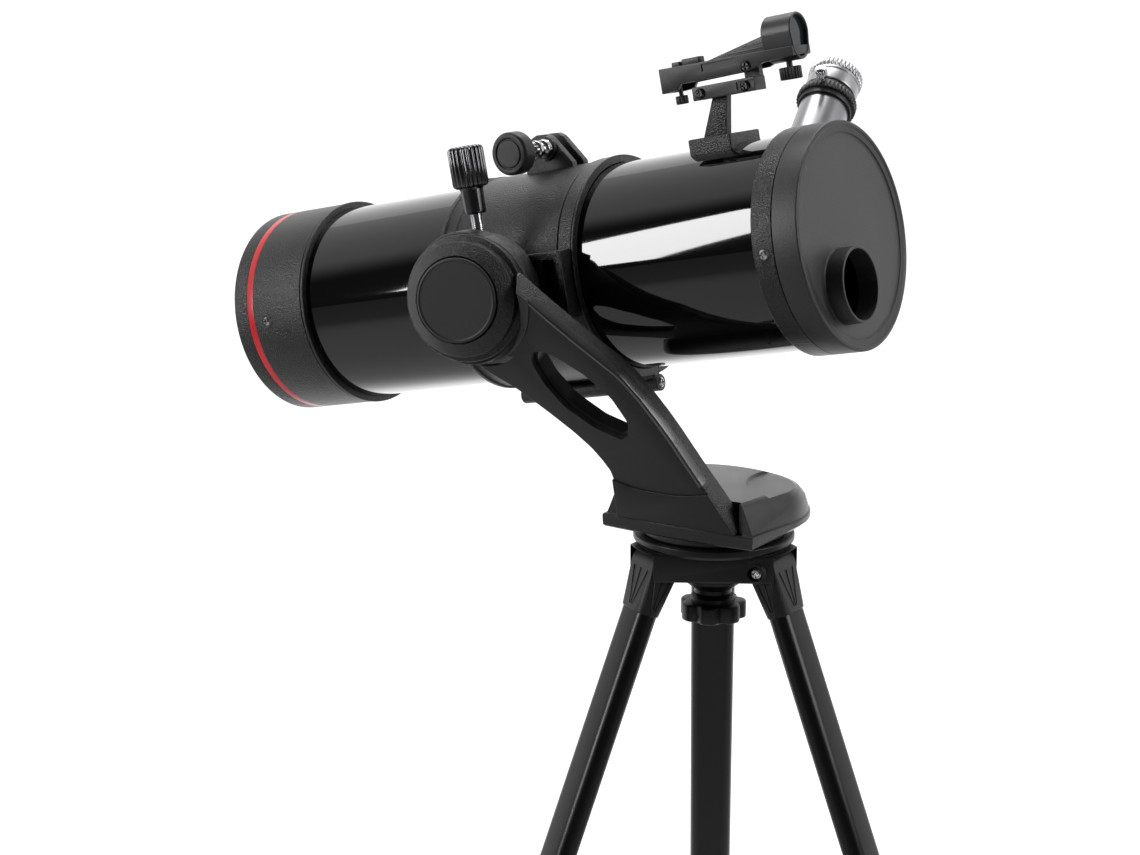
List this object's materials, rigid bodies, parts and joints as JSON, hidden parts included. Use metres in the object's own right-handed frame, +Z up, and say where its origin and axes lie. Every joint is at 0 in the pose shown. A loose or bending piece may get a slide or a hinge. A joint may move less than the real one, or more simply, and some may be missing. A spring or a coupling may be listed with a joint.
{
  "type": "reflector telescope",
  "caption": "Small reflecting telescope with a top finder and side focuser, held by a hinged cradle on a one-armed altitude-azimuth mount over a folding tripod.",
  "frame": {"origin": "On the floor under the azimuth axis, which is the middle of the three open legs", "axes": "+Z up along the azimuth axis, +X the way the tube points and the front leg stands, +Y the side of the eyepiece, -Y the side of the arm"},
  "size_m": [0.7639, 0.6706, 1.2324],
  "materials": {
    "head": "satin",
    "leg": "satin",
    "screw": "polished",
    "foot": "matte",
    "knob": "matte",
    "steel": "turned",
    "mount": "fine grain",
    "tube": "gloss",
    "ring": "fine grain",
    "chrome": "polished",
    "dark_chrome": "dark polished",
    "inner": "matte",
    "mirror": "polished",
    "cap": "fine matte",
    "draw": "satin",
    "eyepiece": "satin",
    "lens": "polished",
    "finder": "satin"
  },
  "bodies": {
    "tripod_head": {"tripod_head": "head", "leg_pins": "screw"},
    "leg_1": {"leg_1_knuckle": "head", "leg_1_upper": "leg", "leg_1_collar": "head"},
    "leg_1_extension": {"leg_1_lower": "leg", "leg_1_foot": "foot"},
    "leg_1_clamp": {"leg_1_clamp_knob": "knob"},
    "leg_2": {"leg_2_knuckle": "head", "leg_2_upper": "leg", "leg_2_collar": "head"},
    "leg_2_extension": {"leg_2_lower": "leg", "leg_2_foot": "foot"},
    "leg_2_clamp": {"leg_2_clamp_knob": "knob"},
    "leg_3": {"leg_3_knuckle": "head", "leg_3_upper": "leg", "leg_3_collar": "head"},
    "leg_3_extension": {"leg_3_lower": "leg", "leg_3_foot": "foot"},
    "leg_3_clamp": {"leg_3_clamp_knob": "knob"},
    "azimuth_lock": {"hand_knob": "knob", "azimuth_bolt": "steel"},
    "mount": {"base_pan": "mount", "base_cover": "mount", "arm": "mount", "hub_ring": "mount", "hub_cap": "cap", "altitude_axle": "steel"},
    "cradle": {"altitude_flange": "ring", "cradle_near": "ring", "cradle_hinge_pin": "steel"},
    "cradle_gate": {"cradle_far": "ring"},
    "cradle_clamp": {"clamp_knob": "knob", "clamp_bolt": "chrome"},
    "altitude_lock": {"altitude_lock": "dark_chrome"},
    "tube": {"main_tube": "tube", "front_ring": "ring", "rear_ring": "ring", "ring_screws": "screw", "mirror_cell": "inner", "primary_mirror": "mirror", "spider": "inner", "secondary_holder": "inner", "secondary_mirror": "mirror", "focuser_housing": "finder", "finder_shoe": "ring", "finder_rail": "finder"},
    "collimation_1": {"collimation_knob_1": "knob"},
    "collimation_2": {"collimation_knob_2": "knob"},
    "collimation_3": {"collimation_knob_3": "knob"},
    "dust_cap": {"dust_cap": "cap"},
    "drawtube": {"drawtube": "draw", "eyepiece_collar": "knob"},
    "focus_knobs": {"focus_knobs": "knob"},
    "eyepiece": {"eyepiece_body": "eyepiece", "eye_lens": "lens"},
    "eyepiece_screw": {"eyepiece_thumbscrew": "chrome"},
    "finder": {"finder_body": "finder", "finder_lens": "lens"},
    "finder_knob": {"finder_knob": "knob"}
  },
  "joints": [
    {"name": "leg_1_fold", "type": "hinge", "parent": "tripod_head", "child": "leg_1", "pos_m": [0.0451, 0, 0.865], "axis": [0, 1, 0], "range_deg": [0, 20]},
    {"name": "leg_1_extend", "type": "slide", "parent": "leg_1", "child": "leg_1_extension", "axis": [0.3535, 0, -0.9354], "range_m": [-0.37, 0]},
    {"name": "leg_1_clamp_turn", "type": "hinge", "parent": "leg_1", "child": "leg_1_clamp", "pos_m": [0.2286, 0, 0.40625], "axis": [0.9354, 0, 0.3535], "continuous": true},
    {"name": "leg_2_fold", "type": "hinge", "parent": "tripod_head", "child": "leg_2", "pos_m": [-0.02255, 0.03906, 0.865], "axis": [-0.866, -0.5, 0], "range_deg": [0, 20]},
    {"name": "leg_2_extend", "type": "slide", "parent": "leg_2", "child": "leg_2_extension", "axis": [-0.1767, 0.3061, -0.9354], "range_m": [-0.37, 0]},
    {"name": "leg_2_clamp_turn", "type": "hinge", "parent": "leg_2", "child": "leg_2_clamp", "pos_m": [-0.1143, 0.19798, 0.40625], "axis": [-0.4677, 0.8101, 0.3535], "continuous": true},
    {"name": "leg_3_fold", "type": "hinge", "parent": "tripod_head", "child": "leg_3", "pos_m": [-0.02255, -0.03906, 0.865], "axis": [0.866, -0.5, 0], "range_deg": [0, 20]},
    {"name": "leg_3_extend", "type": "slide", "parent": "leg_3", "child": "leg_3_extension", "axis": [-0.1767, -0.3061, -0.9354], "range_m": [-0.37, 0]},
    {"name": "leg_3_clamp_turn", "type": "hinge", "parent": "leg_3", "child": "leg_3_clamp", "pos_m": [-0.1143, -0.19798, 0.40625], "axis": [-0.4677, -0.8101, 0.3535], "continuous": true},
    {"name": "azimuth", "type": "hinge", "parent": "tripod_head", "child": "mount", "pos_m": [0, 0, 0.884], "axis": [0, 0, 1], "continuous": true},
    {"name": "hand_knob_turn", "type": "hinge", "parent": "tripod_head", "child": "azimuth_lock", "pos_m": [0, 0, 0.827], "axis": [0, 0, 1], "continuous": true},
    {"name": "altitude", "type": "hinge", "parent": "mount", "child": "cradle", "pos_m": [-0.121, 0, 1.049], "axis": [0, -1, 0], "range_deg": [-16, 58]},
    {"name": "tube_roll", "type": "hinge", "parent": "cradle", "child": "tube", "pos_m": [-0.121, 0, 1.049], "axis": [0.981, 0, 0.1942], "range_deg": [-80, 75]},
    {"name": "cradle_open", "type": "hinge", "parent": "cradle", "child": "cradle_gate", "pos_m": [-0.10507, 0.006, 0.96856], "axis": [-0.981, 0, -0.1942], "range_deg": [0, 60]},
    {"name": "cradle_clamp_turn", "type": "hinge", "parent": "cradle", "child": "cradle_clamp", "pos_m": [-0.12926, -0.02, 1.13707], "axis": [0, -1, 0], "continuous": true},
    {"name": "altitude_lock_turn", "type": "hinge", "parent": "cradle", "child": "altitude_lock", "pos_m": [-0.12922, -0.0945, 1.10854], "axis": [-0.1942, 0, 0.981], "continuous": true},
    {"name": "dust_cap_pull", "type": "slide", "parent": "tube", "child": "dust_cap", "axis": [0.981, 0, 0.1942], "range_m": [0, 0.06]},
    {"name": "collimation_1_turn", "type": "hinge", "parent": "tube", "child": "collimation_1", "pos_m": [-0.37203, 0, 1.05027], "axis": [0.981, 0, 0.1942], "continuous": true},
    {"name": "collimation_2_turn", "type": "hinge", "parent": "tube", "child": "collimation_2", "pos_m": [-0.35746, -0.0433, 0.97669], "axis": [0.981, 0, 0.1942], "continuous": true},
    {"name": "collimation_3_turn", "type": "hinge", "parent": "tube", "child": "collimation_3", "pos_m": [-0.35746, 0.0433, 0.97669], "axis": [0.981, 0, 0.1942], "continuous": true},
    {"name": "drawtube_slide", "type": "slide", "parent": "tube", "child": "drawtube", "axis": [-0.1249, 0.766, 0.6306], "range_m": [-0.015, 0.022]},
    {"name": "focus_turn", "type": "hinge", "parent": "tube", "child": "focus_knobs", "pos_m": [0.03624, 0.07863, 1.11466], "axis": [0.981, 0, 0.1942], "range_deg": [-270, 185]},
    {"name": "eyepiece_pull", "type": "slide", "parent": "drawtube", "child": "eyepiece", "axis": [-0.1249, 0.766, 0.6306], "range_m": [0, 0.045]},
    {"name": "eyepiece_screw_turn", "type": "hinge", "parent": "drawtube", "child": "eyepiece_screw", "pos_m": [0.02932, 0.09042, 1.18142], "axis": [0.1608, -0.6129, 0.7736], "continuous": true},
    {"name": "finder_tilt", "type": "hinge", "parent": "tube", "child": "finder", "pos_m": [0.02696, 0, 1.19757], "axis": [0, -1, 0], "range_deg": [-2, 2]},
    {"name": "finder_knob_turn", "type": "hinge", "parent": "finder", "child": "finder_knob", "pos_m": [0.05284, -0.0005, 1.19556], "axis": [-0.1942, 0, 0.981], "continuous": true}
  ],
  "couplings": [
    {"joint": "focus_turn", "follows": "drawtube_slide", "rad_per_m": -209.44}
  ]
}
